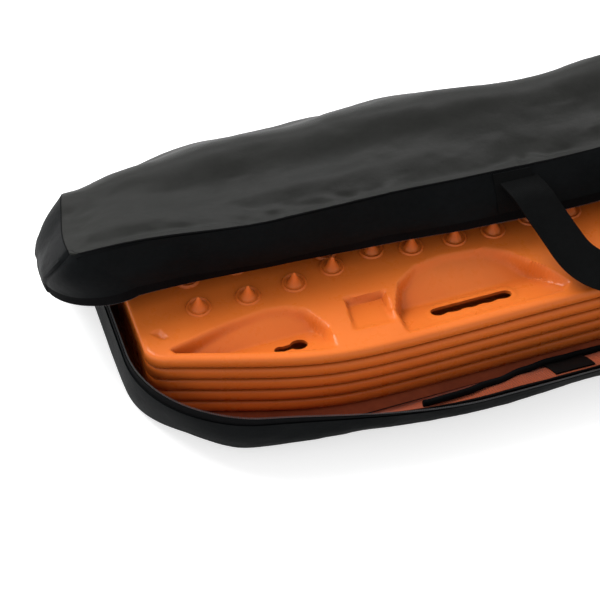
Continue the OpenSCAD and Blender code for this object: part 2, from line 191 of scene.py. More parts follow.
def run(x, y, normal):
    """Points of a straight piece of plan, and its normal for each."""
    p = np.stack(np.broadcast_arrays(x, y), 1).astype(float)
    return p, np.broadcast_to(np.array(normal, float), p.shape)


def joined_line(parts):
    return tuple(np.concatenate(part) for part in zip(*parts))


# ---------------------------------------------------------------- bodies


def hold(obj, body, *nodes):
    """A piece that rides on a body and stands for the CAD nodes."""
    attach(obj, body)
    if nodes:
        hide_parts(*nodes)


def cross(obj, bodies, a, b, *nodes):
    """A piece with its transform baked into its points, standing for the CAD nodes; it stays where it is built. bodies,
    a and b are not used.
    """
    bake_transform(obj)
    if nodes:
        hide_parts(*nodes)


# ---------------------------------------------------------------- mesh makers


def link(name, data):
    obj = bpy.data.objects.new(name, data)
    bpy.context.scene.collection.objects.link(obj)
    return obj


def build(name, verts, faces, material, slot=None, uvs=None, sharp=40.0):
    """A smooth-shaded object from points in mm, with one uv in mm per point."""
    mesh = bpy.data.meshes.new(name)
    mesh.from_pydata((np.asarray(verts) * MM).tolist(), [], faces)
    mesh.validate()
    if uvs is not None:
        layer = mesh.uv_layers.new(name="UVMap")
        index = np.zeros(len(mesh.loops), int)
        mesh.loops.foreach_get("vertex_index", index)
        layer.data.foreach_set("uv", (np.asarray(uvs)[index] * MM).astype(np.float32).ravel())
    mesh.materials.append(material)
    mesh.shade_smooth()
    mesh.set_sharp_from_angle(angle=math.radians(sharp))
    obj = link(name, mesh)
    return obj


def quads(i):
    """Quads of a grid of point numbers."""
    return np.stack([i[:-1, :-1].ravel(), i[:-1, 1:].ravel(), i[1:, 1:].ravel(), i[1:, :-1].ravel()], 1)


def turned(faces):
    """The same quads seen from the other side."""
    return faces[:, [0, 3, 2, 1]]


def border(i):
    """Numbers of a grid's edge points, once round."""
    return np.concatenate([i[0], i[1:, -1], i[-1, -2::-1], i[-2:0:-1, 0]])


def ring_faces(rows, n, start=0, flip=False):
    """Faces of a stack of closed rings of n points, capped at both ends."""
    i = start + np.arange(rows * n).reshape(rows, n)
    j = np.roll(i, -1, axis=1)
    sides = np.stack([i[:-1], j[:-1], j[1:], i[1:]], -1).reshape(-1, 4)
    caps = [i[0].tolist(), i[-1][::-1].tolist()] if flip else [i[0][::-1].tolist(), i[-1].tolist()]
    return (turned(sides) if flip else sides).tolist() + caps


def sheet(name, p, thick, material, slot=None, flip=False, sharp=50.0):
    """A closed sheet of cloth: p is a grid of points on its outer face, and thick goes inward."""
    rows, cols = p.shape[:2]
    n = unit(np.cross(np.gradient(p, axis=1), np.gradient(p, axis=0))) * (-1 if flip else 1)
    verts = np.concatenate([p.reshape(-1, 3), (p - n * thick).reshape(-1, 3)])
    k = rows * cols
    i = np.arange(k).reshape(rows, cols)
    front = turned(quads(i)) if flip else quads(i)
    edge = border(i)
    after = np.roll(edge, -1)
    rim = np.stack([edge, edge + k, after + k, after], 1)
    faces = np.concatenate([front, front[:, ::-1] + k, turned(rim) if flip else rim]).tolist()
    along, down = lengths(p, 1).mean(0), lengths(p, 0).mean(1)
    uv = np.stack(np.meshgrid(along, down), -1).reshape(-1, 2)
    return build(name, verts, faces, material, slot, np.concatenate([uv, uv]), sharp)


def tube(name, path, radius, material, slot=None, sides=8, flat=1.0):
    """A cord of round or flattened section along a path, with closed ends."""
    path = np.asarray(path, float)
    along = unit(np.gradient(path, axis=0))
    up = np.array([[0.0, 0.0, 1.0]])
    a = unit(up - (up * along).sum(1, keepdims=True) * along)
    b = np.cross(along, a)
    angle = np.linspace(0, 2 * math.pi, sides, endpoint=False)
    c, s = np.cos(angle)[None, :, None], np.sin(angle)[None, :, None]
    r = np.broadcast_to(radius, len(path))[:, None, None]
    ring = path[:, None] + r * (c * a[:, None] * flat + s * b[:, None])
    uv = np.stack(np.meshgrid(lengths(path), angle * np.mean(radius), indexing="ij"), -1)
    faces = ring_faces(len(path), sides, flip=True)
    return build(name, ring.reshape(-1, 3), faces, material, slot, uv.reshape(-1, 2), 60.0)


BEAD_RING = [(-1, 0), (-0.7, 0.7), (0, 1), (0.7, 0.7), (1, 0), (0.7, -0.7), (0, -1), (-0.7, -0.7)]
BEAD_ENDS = [(-1.0, 0.55), (-0.6, 1.0), (0.6, 1.0), (1.0, 0.55)]


def beads(name, path, across, up, pitch, size, material, slot=None):
    """Small rounded bars at an even pitch along a path: coil turns or stitches. size is (across, along, up)."""
    step = lengths(path)
    count = max(2, int(step[-1] / pitch))
    at = (np.arange(count) + 0.5) * step[-1] / count
    c, a, u = (np.stack([np.interp(at, step, v[:, k]) for k in range(3)], 1) for v in (path, across, up))
    a, u = unit(a), unit(u)
    t = np.cross(u, a)
    w, l, h = np.array(size) / 2
    bar = [c + a * (s * w) + t * (m * k * l) + u * (n * k * h) for s, k in BEAD_ENDS for m, n in BEAD_RING]
    rows, n = len(BEAD_ENDS), len(BEAD_RING)
    faces = [f for k in range(count) for f in ring_faces(rows, n, k * rows * n)]
    return build(name, np.stack(bar, 1).reshape(-1, 3), faces, material, slot, None, 70.0)


def coil(name, middle, above, inner):
    """Turns of a zip coil on a middle line, given lines above it and inside it."""
    return beads(name, middle, above - middle, middle - inner, 2.1, (3.4, 1.25, 3.0), COIL_PLASTIC, "zip_coil")


def stitches(name, line, out, slot="wall_fabric", pitch=4.2, size=(3.0, 0.8, 0.8)):
    """A row of thread along a line; out points away from the cloth."""
    return beads(name, line, np.gradient(line, axis=0), out, pitch, size, THREAD, slot)


# ---------------------------------------------------------------- materials


class Nodes:
    def __init__(self, name):
        self.mat = bpy.data.materials.new(name)
        self.mat.use_nodes = True
        self.tree = self.mat.node_tree
        self.bsdf = self.tree.nodes["Principled BSDF"]
        self.coord = self.tree.nodes.new("ShaderNodeTexCoord")

    def add(self, kind, **inputs):
        node = self.tree.nodes.new(kind)
        for key, value in inputs.items():
            self.set(node, key.replace("_", " "), value)
        return node

    def set(self, node, key, value):
        socket = node.inputs[int(key)] if key.isdigit() else node.inputs[key]
        if isinstance(value, bpy.types.NodeSocket):
            self.tree.links.new(value, socket)
        else:
            socket.default_value = value

    def noise(self, source, scale, detail=4.0, rough=0.55):
        node = self.add("ShaderNodeTexNoise", Vector=source, Scale=scale, Detail=detail, Roughness=rough)
        return node.outputs["Fac"]

    def waves(self, source, period, direction, distortion=0.0):
        node = self.add("ShaderNodeTexWave", Vector=source, Scale=0.31416 / (period * MM), Distortion=distortion)
        node.bands_direction = direction
        return node.outputs["Fac"]

    def math(self, kind, a, b):
        node = self.tree.nodes.new("ShaderNodeMath")
        node.operation = kind
        self.set(node, "0", a)
        self.set(node, "1", b)
        return node.outputs[0]

    def ramp(self, fac, low_value, high_value, a=0.3, b=0.7):
        node = self.add("ShaderNodeMapRange", Value=fac)
        for key, value in (("From Min", a), ("From Max", b), ("To Min", low_value), ("To Max", high_value)):
            self.set(node, key, value)
        return node.outputs["Result"]

    def mix(self, fac, a, b):
        """Mixes two colours, each a triple or another node's output."""
        node = self.tree.nodes.new("ShaderNodeMix")
        node.data_type = "RGBA"
        for key, value in (("0", fac), ("6", a), ("7", b)):
            self.set(node, key, (*value, 1) if isinstance(value, tuple) else value)
        return node.outputs[2]

    def bump(self, height, strength, distance, before=None):
        node = self.add("ShaderNodeBump", Height=height, Strength=strength, Distance=distance * MM)
        if before is not None:
            self.set(node, "Normal", before)
        return node.outputs["Normal"]

    def surface(self, **inputs):
        for key, value in inputs.items():
            self.set(self.bsdf, key.replace("_", " "), value)
        return self.mat


def fabric(name, color, worn, rough, weave, bump, sheen, source="UV", crinkle=0.35, ribs=0.0, gloss=0.12, coat=0.0):
    """Coated woven cloth: crossed yarns weave mm apart, a soft crinkle, faint rubbed patches and sheen."""
    m = Nodes(name)
    uv, place = m.coord.outputs[source], m.coord.outputs["Object"]
    yarn = m.math("MULTIPLY", m.waves(uv, weave, "X", 0.6), m.waves(uv, weave, "Y", 0.6))
    patch = m.noise(place, 9.0, 6.0)
    fine = m.noise(place, 160.0, 3.0)
    rubbed = m.ramp(m.math("ADD", patch, m.math("MULTIPLY", fine, 0.4)), 0, 1, 0.45, 0.95)
    normal = m.bump(m.noise(place, 38.0, 5.0, 0.6), crinkle, 1.6)
    if ribs:
        normal = m.bump(m.waves(uv, ribs, "X", 0.8), 0.9, 0.9, normal)
    return m.surface(
        Base_Color=m.mix(rubbed, color, worn),
        Roughness=m.ramp(patch, rough - 0.07, rough + 0.07),
        Specular_IOR_Level=gloss,
        Coat_Weight=coat,
        Coat_Roughness=0.3,
        Sheen_Weight=sheen,
        Sheen_Roughness=0.4,
        Normal=m.bump(yarn, bump, 0.25, normal),
    )


def plastic(name, color, mottle_and_shade, rough):
    """Glossy moulded plastic: slight mottling, fine texture, rubbed patches, and painted shade, where ambient occlusion
    darkens the colour in the hollows.
    """
    m = Nodes(name)
    place = m.coord.outputs["Object"]
    cloud = m.noise(place, 7.0, 5.0)
    scuff = m.noise(place, 55.0, 8.0, 0.7)
    # painted shade: ambient occlusion within 5 cm darkens the pockets, the hollows and the gaps between the lips
    shade_occlusion = m.add("ShaderNodeAmbientOcclusion", Distance=0.05)
    shade_occlusion.samples = 6
    unshaded = m.ramp(shade_occlusion.outputs["AO"], 0, 1, 0.3, 0.93)
    mottled = m.mix(m.ramp(cloud, 0, 1, 0.35, 0.75), color, mottle_and_shade)
    normal = m.bump(m.noise(place, 24.0, 3.0), 0.12, 1.2)
    return m.surface(
        # painted shade: occluded places blend toward 0.62 of the deeper tone; the deeper tone also gives the random
        # mottling
        Base_Color=m.mix(unshaded, tuple(0.62 * c for c in mottle_and_shade), mottled),
        Roughness=m.ramp(scuff, rough - 0.06, rough + 0.12, 0.35, 0.75),
        Specular_IOR_Level=0.22,
        Coat_Weight=0.06,
        Coat_Roughness=0.2,
        Subsurface_Weight=0.05,
        Subsurface_Scale=0.004,
        Normal=m.bump(m.noise(place, 420.0, 2.0), 0.06, 0.2, normal),
    )


def metal(name, color, rough, metallic=0.8):
    """Dull metal or hard plastic with bright scuffs."""
    m = Nodes(name)
    scuff = m.noise(m.coord.outputs["Object"], 300.0, 6.0, 0.7)
    bright = tuple(min(1, 2.4 * c) for c in color)
    return m.surface(
        Base_Color=m.mix(m.ramp(scuff, 0, 1, 0.55, 0.75), color, bright),
        Metallic=metallic,
        Roughness=m.ramp(scuff, rough - 0.08, rough + 0.15),
        Normal=m.bump(scuff, 0.15, 0.1),
    )


LID_CLOTH = fabric(
    "lid_cloth", (0.0125, 0.0128, 0.0118), (0.018, 0.0185, 0.017), 0.42, 1.3, 0.2, 0.0, gloss=0.035, coat=0.04
)
WALL_CLOTH = fabric(
    "wall_cloth", (0.0035, 0.0041, 0.0044), (0.0068, 0.0076, 0.0082), 0.45, 1.5, 0.3, 0.0, crinkle=0.5, gloss=0.025
)
DARK_CLOTH = fabric("dark_cloth", (0.0028, 0.0028, 0.0030), (0.0055, 0.0055, 0.0060), 0.75, 1.2, 0.4, 0.0, gloss=0.03)
TAPE_CLOTH = fabric(
    "tape_cloth", (0.0025, 0.0025, 0.0028), (0.0050, 0.0050, 0.0055), 0.75, 1.8, 0.8, 0.0, crinkle=0.1, gloss=0.03
)
STRAP_CLOTH = fabric(
    "strap_cloth", (0.0026, 0.0028, 0.0028), (0.0055, 0.0058, 0.0060), 0.60, 2.2, 1.0, 0.0, crinkle=0.15, gloss=0.035
)
ORANGE_CLOTH = fabric(
    "orange_cloth", (0.34, 0.068, 0.022), (0.20, 0.040, 0.016), 0.6, 1.1, 0.4, 0.1, crinkle=0.5, ribs=3.2
)
THREAD = fabric("thread", (0.020, 0.020, 0.021), (0.032, 0.032, 0.033), 0.6, 0.5, 0.4, 0.2, "Object")
COIL_PLASTIC = metal("coil_plastic", (0.075, 0.075, 0.078), 0.35, 0.15)
SLIDER_METAL = metal("slider_metal", (0.10, 0.10, 0.11), 0.35)
BOARD_PLASTIC = plastic("board_plastic", (0.86, 0.198, 0.030), (0.79, 0.168, 0.024), 0.30)

# ---------------------------------------------------------------- the boards

LENGTH, WIDTH = high("board_5")[0], high("board_5")[1]
TIP_W, TAPER, BEND = 81.0, 200.0, 34.0
LIP, LIP_INSET, DECK_T = 18.3, 6.5, 5.0
BOARDS = 5


def inside_distance(x, y, corners):
    """Signed distance to a polygon, positive inside."""
    best = np.full(np.shape(x), 1e9)
    within = np.zeros(np.shape(x), bool)
    for (ax, ay), (bx, by) in zip(corners, corners[1:] + corners[:1]):
        dx, dy = bx - ax, by - ay
        t = np.clip(((x - ax) * dx + (y - ay) * dy) / (dx * dx + dy * dy), 0, 1)
        best = np.minimum(best, np.hypot(x - ax - t * dx, y - ay - t * dy))
        if ay != by:
            within ^= ((ay > y) != (by > y)) & (x < (bx - ax) * (y - ay) / (by - ay) + ax)
    return np.where(within, best, -best)


def scoop(x, y, corners, lines, depth, edge):
    """A pocket with a curved outline: it falls from the far line to the deep line, then rises to the near one."""
    far, mottle_and_shade, near = lines
    fall = np.clip((far - y) / (far - mottle_and_shade), 0, 1)
    rise = 0.12 + 0.88 * np.clip((y - near) / (mottle_and_shade - near), 0, 1)
    return depth * fall * rise * smooth((inside_distance(x, y, corners) + 1) / edge)


# outlines in one quarter of the deck
HAND_POCKET = [
    (-285, -141), (-84, -141), (-72, -128), (-92, -96), (-124, -60),
    (-150, -44), (-205, -38), (-240, -44), (-268, -64), (-284, -100),
]
TIE_POCKET = [
    (-552, -74), (-548, -82), (-470, -108), (-380, -136), (-366, -134),
    (-368, -100), (-384, -68), (-404, -56), (-430, -52), (-480, -58),
]
SQUARE_POCKET = [(-342, -116), (-290, -118), (-287, -70), (-336, -66)]
ARROW = [(-568, -44), (-556, -60), (-548, -58), (-556, -40)]
HAND_LINES, HAND_DEPTH, HAND_EDGE = (-30, -86, -138), 24.0, 8.0
TIE_LINES, TIE_DEPTH, TIE_EDGE = (-42, -86, -132), 20.0, 9.0
SQUARE_DEPTH, ARROW_DEPTH, SLOT_BEAD, MIDDLE_DIP = 10.0, 3.0, 1.6, 1.5
SLOT_Y, SLOT_FAR, SLOT_NEAR, SLOT_R = -110.0, -234.0, -150.0, 9.0


def deck_height(x, y):
    """Height of a board's top face above the flat deck, the same in all four quarters."""
    ax, ay = -np.abs(x), -np.abs(y)
    h = -scoop(ax, ay, HAND_POCKET, HAND_LINES, HAND_DEPTH, HAND_EDGE)
    h = h - scoop(ax, ay, TIE_POCKET, TIE_LINES, TIE_DEPTH, TIE_EDGE)
    slope = 0.2 + 0.8 * np.clip((ay + 118) / 48, 0, 1)
    h = h - SQUARE_DEPTH * smooth((inside_distance(ax, ay, SQUARE_POCKET) + 1) / 6) * slope
    h = h - ARROW_DEPTH * smooth(inside_distance(ax, ay, ARROW) / 4)
    past_slot = np.clip(np.abs(ax - (SLOT_FAR + SLOT_NEAR) / 2) - 40, 0, None)
    slot_gap = np.hypot(past_slot, ay - SLOT_Y) - SLOT_R
    h = h + SLOT_BEAD * bell((slot_gap - 4.5) / 3.2)
    h = h - MIDDLE_DIP * bell((ay + 4) / 22) * smooth((570 + ax) / 40)
    return h * smooth((half_width(x) - np.abs(y) - 5.5) / 9)


def half_width(x):
    """Half of the board's width: straight in the middle, narrowing to the tips through a soft bend."""
    past = (np.abs(x) - LENGTH + TAPER) / BEND
    return WIDTH - BEND * np.logaddexp(0, past) * (WIDTH - TIP_W) / TAPER


def outline(u, v, inset, r=15.0):
    """Point of the board's plan for u, v in -1..1, drawn in by inset."""
    reach = LENGTH - inset - r * shoulder((np.abs(v) * TIP_W - TIP_W + r) / r)
    x = u * reach
    return x, v * (half_width(x) - inset)


# section of the lip, as (outward, height): rolled to a bead along the sides, plain at the tips
BEAD_LIP = [
    (2.4, 18.2), (4.4, 17.4), (5.8, 16.0), (6.9, 13.8), (7.6, 11.0), (7.6, 8.2), (7.0, 5.6),
    (5.8, 3.2), (3.8, 0.8), (2.4, 0.0), (1.2, 1.2), (0.8, 5.0), (0.4, 10.5),
]
PLAIN_LIP = [
    (2.4, 18.2), (4.4, 17.4), (5.8, 16.0), (6.5, 13.8), (6.8, 11.0), (6.8, 8.2), (6.7, 5.0),
    (6.6, 1.5), (6.2, -1.6), (4.2, -1.9), (2.6, -0.5), (1.2, 5.0), (0.4, 10.5),
]


def board_mesh():
    """One moulded board with its lips' feet at z = 0: deck, lip and underside in one closed skin."""
    nx, ny = ((400, 104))
    x, y = outline(*np.meshgrid(np.linspace(-1, 1, nx), np.linspace(-1, 1, ny)), LIP_INSET)
    rise = deck_height(x, y)
    top = points(x, y, LIP + rise).reshape(-1, 3)
    k = nx * ny
    i = np.arange(k).reshape(ny, nx)
    loop = border(i)
    faces = np.concatenate([quads(i), turned(quads(i)) + k])
    rim = top[loop]
    tangent = np.roll(rim, -1, 0) - np.roll(rim, 1, 0)
    out = unit(np.stack([tangent[:, 1], -tangent[:, 0], np.zeros(len(loop))], 1))
    for _ in range(6):
        out = unit((np.roll(out, 1, 0) + out + np.roll(out, -1, 0)) / 3)
    tip = smooth((np.abs(rim[:, 0]) - (LENGTH - 34)) / 30)[:, None]
    edge_rise = rise.reshape(-1)[loop][:, None]
    verts, rings = [top, top - [0, 0, DECK_T]], [loop]
    for (o1, z1), (o2, z2) in zip(BEAD_LIP, PLAIN_LIP):
        o = o1 * (1 - tip) + o2 * tip
        z = z1 * (1 - tip) + z2 * tip + edge_rise * max(0, (z1 - 9) / 9.3)
        verts.append(rim * [1, 1, 0] + out * o + z * [0, 0, 1])
        rings.append(2 * k + (len(rings) - 1) * len(loop) + np.arange(len(loop)))
    rings.append(loop + k)
    for r1, r2 in zip(rings[:-1], rings[1:]):
        faces = np.concatenate([faces, np.stack([r1, r2, np.roll(r2, -1), np.roll(r1, -1)], 1)])
    return np.concatenate(verts), faces.tolist()


# places of the studs in one quarter, and a stud's section as (radius, height)
STUDS = [
    (-502, 24), (-500, -34), (-442, -26), (-384, -24), (-333, -14), (-279, -3),
    (-232, -14), (-177, -17), (-128, -20), (-78, -14), (-28, -20),
]
STUD_PROFILE = [
    (16.0, -0.8), (15.2, 1.2), (13.8, 2.6), (12.2, 2.0), (11.0, 1.1), (9.6, 1.3), (8.2, 2.8),
    (6.2, 6.8), (4.4, 11.0), (3.0, 14.6), (2.2, 16.8), (1.3, 18.2), (0.5, 18.7),
]
QUARTERS = [(1, 1), (1, -1), (-1, 1), (-1, -1)]


def stud_points(apart=26):
    spots = []
    for x, y in STUDS:
        for sx, sy in QUARTERS:
            p = (sx * x, sy * y)
            if all(math.dist(p, q) > apart for q in spots):
                spots.append(p)
    return spots


def stud_mesh(sides=26):
    verts, faces = [], []
    rows = len(STUD_PROFILE)
    angle = 2 * math.pi * np.arange(sides)[None, :] / sides
    r, z = np.array(STUD_PROFILE).T[:, :, None]
    for k, (x, y) in enumerate(stud_points()):
        foot = LIP + float(deck_height(np.array(x), np.array(y)))
        verts.append(points(x + r * np.cos(angle), y + r * np.sin(angle), foot + z).reshape(-1, 3))
        faces += ring_faces(rows, sides, k * rows * sides)
    return np.concatenate(verts), faces


def hole_outlines():
    """Plan outlines of the hand slot, scalloped on one side, and the key-shaped tie hole in one quarter."""
    k = np.arange(1, 28)
    scallops = (1 - np.cos(2 * math.pi * 4 * k / 28)) / 2
    grip = np.stack([SLOT_FAR + (SLOT_NEAR - SLOT_FAR) * k / 28, SLOT_Y - SLOT_R + 2.2 * scallops], 1)
    far, near = arc((SLOT_FAR, SLOT_Y), SLOT_R, 90, 270, 13)[0], arc((SLOT_NEAR, SLOT_Y), SLOT_R, -90, 90, 13)[0]
    key = [arc((-406, -106), 10.5, -150, 150, 20)[0], arc((-429, -107), 7, 50, 310, 14)[0]]
    return [np.concatenate([far, grip, near]), np.concatenate(key)]


def cut_holes(obj, low_z=-20.0, high_z=40.0):
    verts, faces, start = [], [], 0
    for shape in hole_outlines():
        n = len(shape)
        for sx, sy in QUARTERS:
            loop = (shape * [sx, sy])[:: sx * sy]
            verts += [points(loop[:, 0], loop[:, 1], z) for z in (low_z, high_z)]
            faces += ring_faces(2, n, start)
            start += 2 * n
    cutter = build("cutter", np.concatenate(verts), faces, BOARD_PLASTIC)
    mod = obj.modifiers.new("holes", "BOOLEAN")
    mod.operation, mod.solver, mod.object = "DIFFERENCE", "EXACT", cutter
    cut = bpy.data.meshes.new_from_object(obj.evaluated_get(bpy.context.evaluated_depsgraph_get()))
    obj.modifiers.clear()
    obj.data = cut
    bpy.data.objects.remove(cutter)


def add_boards():
    first = build("moulded_board_1", *board_mesh(), BOARD_PLASTIC, "board_plastic", None, 35.0)
    cut_holes(first)
    studs = build("studs", *stud_mesh(), BOARD_PLASTIC)
    bm = bmesh.new()
    bm.from_mesh(first.data)
    bm.from_mesh(studs.data)
    bm.to_mesh(first.data)
    bm.free()
    bpy.data.objects.remove(studs)
    first.data.shade_smooth()
    first.data.set_sharp_from_angle(angle=math.radians(38))
    for k in range(1, BOARDS + 1):
        board = first
        if k > 1:
            board = link(f"moulded_board_{k}", first.data)
        board.location.z = low(f"board_{k}")[2] * MM
        hold(board, "tray", f"board_{k}")
    flatten_underside(first)


def flatten_underside(board, soft=2.0, floor=0.1):
    """The lowest board's scoops end softly at the height of its lips' feet, above the bag's floor."""
    board.data = board.data.copy()
    co = np.empty(len(board.data.vertices) * 3, np.float32)
    board.data.vertices.foreach_get("co", co)
    z = co[2::3] / MM
    room = soft - floor
    co[2::3] = np.where(z < soft, floor + room * np.exp((np.minimum(z, soft) - soft) / room), z) * MM
    board.data.vertices.foreach_set("co", co)
    board.data.update()


# ---------------------------------------------------------------- the tray

# places along X between which the tray's end turns into the front wall
WALL_BLEND = (-(HALF_L + 20), -(HALF_L - 395))
STRAP_X, STRAP_HALF = 101.0, 25.0


def tray_plan(inset=0.0):
    """Plan of the tray's outer line from the rear corner round one end to the middle of the front, and its normals."""
    rear, front = HALF_W - REAR_R, FRONT_R - HALF_W
    return joined_line([
        arc((-CORNER_X, rear), REAR_R - inset, 90, 180, 12),
        run(-HALF_L + inset, np.linspace(rear, front, 40)[1:-1], (-1, 0)),
        arc((-FRONT_X, front), FRONT_R - inset, 180, 270, 30),
        run(np.linspace(-FRONT_X, 0, 104)[1:], -HALF_W + inset, (0, -1)),
    ])


def belly(x, y, z, inner=False):
    """How far the soft wall stands out beyond its flat line; the inner skin hangs slack."""
    front = smooth((-y - 120) / 50)
    mid = smooth((HALF_L - 40 - np.abs(x)) / 380)
    share = np.clip((z - BASE_Z) / (WALL_TOP - BASE_Z), 0, 1)
    amount = (4.0 + 11.0 * mid) * front + 1.5 * (1 - front) * smooth((HALF_W - np.abs(y)) / 90)
    out = amount * np.sin(math.pi * share**0.85)
    wave = noise(x / 85 + 3, y / 85 + z / 60, 5) * 2.2 + noise(x / 30, z / 22 + y / 30, 9) * 0.7
    out = out + wave * (0.35 + 0.65 * front) * bulge(share, 0.7)
    if inner:
        loose = 7.0 + 2.5 * noise(x / 45, z / 30 + x / 90, 12, 2)
        out = out * (1 - front * mid) - front * mid * loose * bulge(share, 0.8)
    corner = bell(np.hypot(np.abs(x) - HALF_L + 30, y + HALF_W - 30) / 70)
    out = out - (18.0 * corner + 5.0 * front) * (1 - share) ** 1.3
    tuck = 6.0 + 8.0 * corner
    return out - tuck * shoulder(1 - (z - BASE_Z) / (tuck * 1.4))


def tray_points(inset, zs, side, inner=False, stand=0.0):
    """Grid on the tray's wall, one row for each height, from the rear corner to the middle of the front."""
    plan, nrm = tray_plan(inset)
    x, y, z = plan[None, :, 0], plan[None, :, 1], np.asarray(zs, float)[:, None]
    out = belly(x, y, z, inner) + stand
    up = smooth((z - BASE_Z) / (WALL_TOP - BASE_Z)) * smooth((-y - 120) / 60)
    lift = 1.3 * noise(x / 120, y / 120, 21) * up
    return lean(points(x + nrm[None, :, 0] * out, y + nrm[None, :, 1] * out, z + lift), side)


def lean(p, side):
    """Lets the front wall sag outward as it does when the bag is open; p has the left half's x."""
    w = smooth((p[..., 0] - WALL_BLEND[0]) / (WALL_BLEND[1] - WALL_BLEND[0]))
    q = turn_x(p, FRONT_HINGE, LEAN * w)
    if side > 0:
        q[..., 0] *= -1
    return q


def tray_side(side):
    s = "left" if side < 0 else "right"
    flip = side < 0

    def grid(inset, low_z, high_z, rows, inner=True):
        return tray_points(inset, np.linspace(low_z, high_z, rows), side, inner)

    def sew(obj, *nodes):
        cross(obj, ("tray", "front_wall"), *((-side * x, 0, 0) for x in WALL_BLEND), *nodes)

    foot = BASE_Z + np.array([-0.5, 0.6, 1.8, 3.6])
    wall = tray_points(0, np.concatenate([foot, np.linspace(BASE_Z + 6.5, WALL_TOP, 15)]), side)
    sew(sheet(f"tray_wall_{s}", wall, FABRIC, WALL_CLOTH, "wall_fabric", flip), f"{s}_end_wall", "front_wall")
    lining = grid(FABRIC + 0.6, BASE_Z + 2.5, WALL_TOP - 3, 22)
    lining = sheet(f"tray_lining_{s}", lining, THIN, ORANGE_CLOTH, "orange_lining", flip)
    sew(lining, f"{s}_end_lining", "front_wall_lining")
    hem = grid(FABRIC + 0.2, WALL_TOP - 5, WALL_TOP - 0.5, 4)
    sew(sheet(f"tray_hem_{s}", hem, 1.4, DARK_CLOTH, "black_lining", flip), "front_wall_hem")
    x = np.linspace(-290, 0, 80)
    drop_line = WALL_TOP - 5 - 48 * smooth((x + 290) / 230)
    y = -HALF_W + 7.5 + 1.2 * np.sin(x / 23.0) - belly(x, -HALF_W, drop_line, True)
    crest = lean(points(x, y, drop_line + 1.5 * np.sin(x / 31.0)), side)
    sew(tube(f"lining_bound_fold_{s}", crest, 3.4, DARK_CLOTH, "black_lining", 10, flat=1.5))
    welt = tray_points(0, [WALL_TOP - 1.6], side, stand=0.6)[0]
    sew(tube(f"tray_welt_{s}", welt, 1.7, WALL_CLOTH, "wall_fabric"), f"{s}_end_welt", "front_wall_welt")
    tape = grid((FABRIC - THIN) / 2, WALL_TOP - 2, TAPE_TOP + 1.6, 7, False)
    tape = sheet(f"tray_zip_tape_{s}", tape, THIN, TAPE_CLOTH, "black_lining", flip)
    sew(tape, f"{s}_end_zip_tape", "front_wall_zip_tape")
    middle = TAPE_TOP + COIL / 2
    turns = tray_points(FABRIC / 2, [middle - 0.6, middle + 1], side)
    inner = tray_points(FABRIC / 2 + 1, [middle], side)[0]
    sew(coil(f"tray_zip_coil_{s}", *turns, inner), f"{s}_end_zip_coil", "front_wall_zip_coil")
    for z, tag in ((WALL_TOP - 5.0, "upper"), (WALL_TOP - 8.0, "lower")):
        line = tray_points(-0.35, [z], side)[0]
        sew(stitches(f"tray_stitch_{tag}_{s}", line, line - tray_points(1.0, [z], side)[0]))
    middle = side * STRAP_X
    strap_x = np.linspace(middle - STRAP_HALF, middle + STRAP_HALF, 14)
    gx, gz = np.meshgrid(strap_x, np.linspace(BASE_Z + 4, WALL_TOP - 4, 14))
    strap = turn_x(points(gx, -HALF_W + 5.8 - belly(gx, -HALF_W, gz, True), gz), FRONT_HINGE, LEAN)
    strap = sheet(f"inner_tie_strap_{s}", strap, 1.6, STRAP_CLOTH, "webbing", True)
    hold(strap, "front_wall", f"inner_strap_{s}")


def foot_slab(name, inset, z0, z1, material, slot, edge=1.2):
    """A flat panel that follows the foot of the tray's walls, with soft edges."""
    rings = []
    for grow, z in ((edge, z0), (0.0, z0 + edge), (0.0, z1 - 0.3), (0.3, z1)):
        left, right = (tray_points(inset + grow, [BASE_Z + 1.0], side)[0] for side in (-1, 1))
        ring = np.concatenate([left, right[-2::-1]])
        ring[:, 2] = z
        rings.append(ring)
    return build(name, np.concatenate(rings), ring_faces(len(rings), len(ring)), material, slot, None, 50.0)


def add_tray():
    for side in (-1, 1):
        tray_side(side)
    hold(foot_slab("tray_base", 0.4, 0.0, BASE_Z, WALL_CLOTH, "wall_fabric"), "tray", "base_panel")
    lining = foot_slab("tray_floor_lining", 5.0, BASE_Z, BASE_Z + 1.0, ORANGE_CLOTH, "orange_lining", 0.4)
    hold(lining, "tray", "base_lining")


# ---------------------------------------------------------------- the back wall


BACK_LINE = np.array([math.sin(BACK_TURN / 2), math.cos(BACK_TURN / 2)])
BACK_A, BACK_B = BACK_HINGE - 6 * BACK_LINE, BACK_HINGE + 14 * BACK_LINE


def back_open(x, out, z):
    """Point of the back wall drawn upright, then folded open about its hinge."""
    return folded(points(x, HALF_W + out, z), BACK_HINGE, -BACK_TURN, BACK_A, BACK_B)


def corner_reach(depth):
    """How far the end fabric stands out at a depth below the spine."""
    share = np.clip(depth / FULL_DEPTH, 0, 1) * smooth(depth / 20)
    return lid_half_length(2.0) + 0.6 * splay(2.0, share) - 4.0


def back_grid(inset, heights, cols):
    return np.meshgrid(np.linspace(inset - CORNER_X, CORNER_X - inset, cols), np.concatenate(heights))


